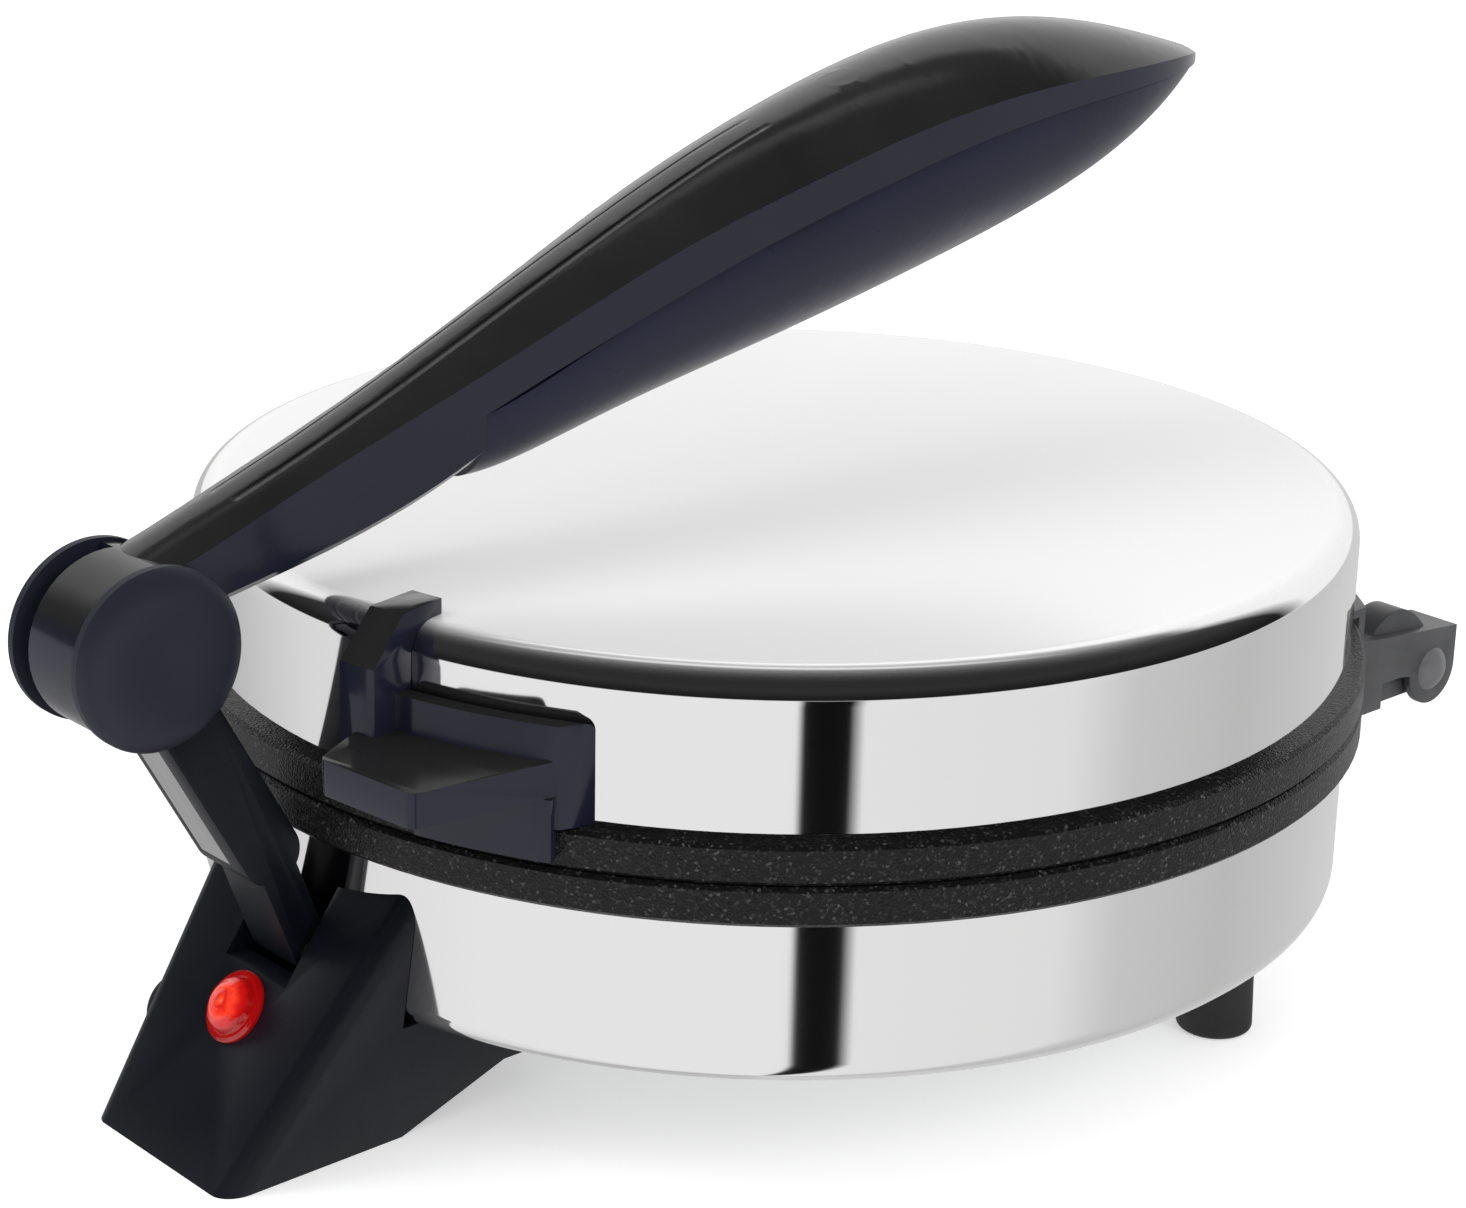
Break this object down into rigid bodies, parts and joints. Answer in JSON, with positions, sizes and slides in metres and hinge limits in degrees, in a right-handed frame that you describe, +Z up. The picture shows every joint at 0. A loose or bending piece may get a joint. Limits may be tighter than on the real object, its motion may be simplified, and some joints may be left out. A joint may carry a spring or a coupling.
{
  "type": "electric roti maker",
  "caption": "Round polished steel flatbread press with hinged hot plates, long press handle on a swinging link, side lid grip and front control block with indicator lamp",
  "frame": {"origin": "centre of the object's bounding box in plan, on the table it stands on", "axes": "Z up, front with the control block and pivot knob towards -Y, rear hinges towards +Y, lid grip on the +X side"},
  "size_m": [0.2376, 0.2934, 0.186],
  "materials": {
    "polished_steel": "polished stainless sheet",
    "coated_cast_metal": "black non-stick coating on cast aluminium",
    "heater_steel": "dull heater tube",
    "zinc_sheet": "zinc-plated sheet",
    "screw_steel": "zinc-plated screws",
    "bar_steel": "plain flat steel",
    "bright_strip": "bright strip",
    "satin_black_plastic": "satin heat-resistant moulding",
    "gloss_black_plastic": "glossy heat-resistant moulding",
    "hinge_paint": "dark grey paint",
    "rivet_paint": "lighter grey paint",
    "red_lens": "clear red moulding",
    "lamp_glass": "small neon lamp",
    "black_rubber": "moulded rubber",
    "control_plastic": "brown heat-resistant moulding",
    "fuse_metal": "plain can",
    "terminal_plastic": "natural nylon"
  },
  "bodies": {
    "base": {"base_shell": "polished_steel", "lower_cooking_plate": "coated_cast_metal", "lower_heating_tube": "heater_steel", "lower_heater_clamp": "zinc_sheet", "lower_clamp_screws": "screw_steel", "lower_rim_screws": "screw_steel", "thermostat": "control_plastic", "thermal_fuse": "fuse_metal", "base_pan": "zinc_sheet", "pan_screws": "screw_steel", "right_foot": "black_rubber", "left_foot": "black_rubber", "control_block": "satin_black_plastic", "block_cover": "satin_black_plastic", "indicator_lens": "red_lens", "indicator_lamp": "lamp_glass", "cord_gland": "black_rubber", "terminal_block": "terminal_plastic", "block_screws": "screw_steel", "link_pin": "bar_steel", "right_hinge_tongue": "hinge_paint", "left_hinge_tongue": "hinge_paint"},
    "lid": {"lid_shell": "polished_steel", "upper_cooking_plate": "coated_cast_metal", "upper_heating_tube": "heater_steel", "upper_heater_clamp": "zinc_sheet", "upper_clamp_screws": "screw_steel", "upper_rim_screws": "screw_steel", "lid_grip": "gloss_black_plastic", "grip_screws": "screw_steel", "right_hinge_channel": "hinge_paint", "left_hinge_channel": "hinge_paint", "right_hinge_rivet": "rivet_paint", "left_hinge_rivet": "rivet_paint"},
    "link": {"swing_link": "satin_black_plastic", "link_strip": "bright_strip"},
    "knob": {"pivot_pin": "bar_steel", "right_knob_cap": "satin_black_plastic", "left_knob_cap": "satin_black_plastic"},
    "handle": {"handle_top": "gloss_black_plastic", "handle_cover": "gloss_black_plastic", "handle_bar": "bar_steel", "handle_screws": "screw_steel"}
  },
  "joints": [
    {"name": "lid_hinge", "type": "hinge", "parent": "base", "child": "lid", "pos_m": [0, 0.1392, 0.0546], "axis": [-1, 0, 0], "range_deg": [0, 69]},
    {"name": "link_swing", "type": "hinge", "parent": "base", "child": "link", "pos_m": [0, -0.0979, 0.0349], "axis": [-1, 0, 0], "range_deg": [-40, 0]},
    {"name": "knob_turn", "type": "hinge", "parent": "link", "child": "knob", "pos_m": [0, -0.1302, 0.1002], "axis": [1, 0, 0], "range_deg": [0, 179.4]},
    {"name": "handle_press", "type": "hinge", "parent": "knob", "child": "handle", "pos_m": [0, -0.1302, 0.1002], "axis": [1, 0, 0], "range_deg": [-8, 0]}
  ],
  "couplings": [
    {"joint": "knob_turn", "follows": "lid_hinge", "ratio": 2.6}
  ]
}
